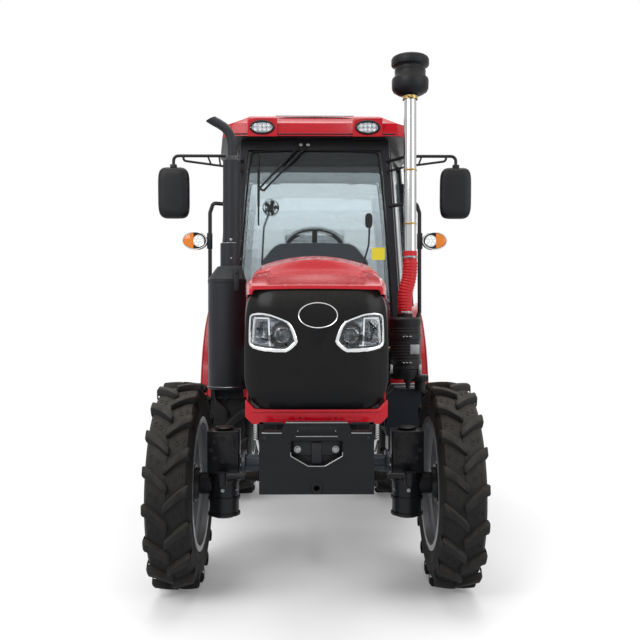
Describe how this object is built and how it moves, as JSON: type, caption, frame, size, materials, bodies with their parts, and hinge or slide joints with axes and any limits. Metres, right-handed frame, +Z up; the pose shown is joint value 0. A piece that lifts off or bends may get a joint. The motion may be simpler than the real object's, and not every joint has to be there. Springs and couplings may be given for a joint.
{
  "type": "farm tractor",
  "caption": "Four-wheel-drive farm tractor with a cab, tilting hood, steered front axle, opening doors, side exhaust and air intake stacks and a rear three-point linkage.",
  "frame": {"origin": "on the ground under the middle of the bounding box", "axes": "+Z up, -Y towards the nose, +X towards the driver's left"},
  "size_m": [1.92, 3.7819, 2.85],
  "materials": {
    "red_paint": "gloss",
    "black_paint": "satin",
    "grey_paint": "satin",
    "silver_paint": "satin",
    "black_plastic": "matte",
    "exhaust_paint": "matte",
    "stainless": "polished",
    "steel": "brushed",
    "red_rubber": "matte",
    "tyre": "matte",
    "glass": "clear",
    "lamp_lens": "clear",
    "amber_lens": "gloss",
    "seat_fabric": "woven",
    "cast_paint": "painted"
  },
  "bodies": {
    "chassis": {"front_frame": "black_paint", "ballast_plate": "black_paint", "front_axle": "grey_paint", "steering_cylinder": "black_paint", "engine_block": "cast_paint", "radiator": "black_paint", "transaxle": "cast_paint", "drawbar": "black_paint", "firewall": "black_paint", "nose_bumper": "red_paint", "muffler": "exhaust_paint", "air_filter": "black_plastic", "intake_pipe": "stainless", "intake_hose": "red_rubber", "precleaner": "black_plastic", "fuel_tank": "black_plastic", "steps": "black_paint", "cab_frame": "black_paint", "cab_floor": "black_paint", "cab_glass": "glass", "roof": "red_paint", "roof_cap": "black_plastic", "fenders": "red_paint", "seat": "seat_fabric", "dash": "black_plastic", "steering_wheel": "black_plastic", "mirrors": "black_plastic", "work_lamps": "lamp_lens", "indicator_lamps": "amber_lens", "handrails": "black_paint", "top_link": "black_paint"},
    "hood": {"hood_top": "red_paint", "nose_panel": "black_plastic", "headlamps": "lamp_lens"},
    "steering_rod": {"steering_rod": "steel"},
    "knuckle_left": {"knuckle_left": "black_paint"},
    "knuckle_right": {"knuckle_right": "black_paint"},
    "door_left": {"door_left": "black_paint", "door_glass_left": "glass"},
    "door_right": {"door_right": "black_paint", "door_glass_right": "glass"},
    "lower_links": {"lower_links": "black_paint"},
    "lift_arms": {"lift_arms": "black_paint"},
    "lift_rods": {"lift_rods": "black_paint"},
    "front_wheel_left": {"front_rim_left": "silver_paint", "front_tyre_left": "tyre"},
    "front_wheel_right": {"front_rim_right": "silver_paint", "front_tyre_right": "tyre"},
    "rear_wheel_left": {"rear_rim_left": "silver_paint", "rear_tyre_left": "tyre"},
    "rear_wheel_right": {"rear_rim_right": "silver_paint", "rear_tyre_right": "tyre"}
  },
  "joints": [
    {"name": "steer_left", "type": "hinge", "parent": "chassis", "child": "knuckle_left", "pos_m": [0.45, -1.041, 0.595], "axis": [0, 0, 1], "range_deg": [-35, 35]},
    {"name": "steer_right", "type": "hinge", "parent": "chassis", "child": "knuckle_right", "pos_m": [-0.45, -1.041, 0.595], "axis": [0, 0, 1], "range_deg": [-35, 35]},
    {"name": "steer_rod_slide", "type": "slide", "parent": "chassis", "child": "steering_rod", "axis": [1, 0, 0], "range_m": [-0.0765, 0.0765]},
    {"name": "hood_tilt", "type": "hinge", "parent": "chassis", "child": "hood", "pos_m": [0, -0.045, 1.63], "axis": [-1, 0, 0], "range_deg": [0, 45]},
    {"name": "lower_link_lift", "type": "hinge", "parent": "chassis", "child": "lower_links", "pos_m": [0, 1.209, 0.43], "axis": [1, 0, 0], "range_deg": [-14, 30]},
    {"name": "lift_arm_turn", "type": "hinge", "parent": "chassis", "child": "lift_arms", "pos_m": [0, 1.209, 0.87], "axis": [1, 0, 0], "range_deg": [-14, 30]},
    {"name": "lift_rod_turn", "type": "hinge", "parent": "lift_arms", "child": "lift_rods", "pos_m": [0, 1.509, 0.87], "axis": [1, 0, 0], "range_deg": [-30, 14]},
    {"name": "door_swing_left", "type": "hinge", "parent": "chassis", "child": "door_left", "pos_m": [0.69179, 0.60807, 1.34171], "axis": [-0.0728, 0, 0.9973], "range_deg": [0, 65]},
    {"name": "door_swing_right", "type": "hinge", "parent": "chassis", "child": "door_right", "pos_m": [-0.69179, 0.60807, 1.34171], "axis": [-0.0728, 0, -0.9973], "range_deg": [0, 65]},
    {"name": "front_spin_left", "type": "hinge", "parent": "knuckle_left", "child": "front_wheel_left", "pos_m": [0.655, -1.041, 0.4975], "axis": [1, 0, 0], "continuous": true},
    {"name": "front_spin_right", "type": "hinge", "parent": "knuckle_right", "child": "front_wheel_right", "pos_m": [-0.655, -1.041, 0.4975], "axis": [1, 0, 0], "continuous": true},
    {"name": "rear_spin_left", "type": "hinge", "parent": "chassis", "child": "rear_wheel_left", "pos_m": [0.595, 1.059, 0.6975], "axis": [1, 0, 0], "continuous": true},
    {"name": "rear_spin_right", "type": "hinge", "parent": "chassis", "child": "rear_wheel_right", "pos_m": [-0.595, 1.059, 0.6975], "axis": [1, 0, 0], "continuous": true}
  ],
  "couplings": [
    {"joint": "steer_right", "follows": "steer_left", "ratio": 1},
    {"joint": "steer_rod_slide", "follows": "steer_left", "m_per_rad": 0.12394},
    {"joint": "lift_arm_turn", "follows": "lower_link_lift", "ratio": 1},
    {"joint": "lift_rod_turn", "follows": "lower_link_lift", "ratio": -1}
  ]
}
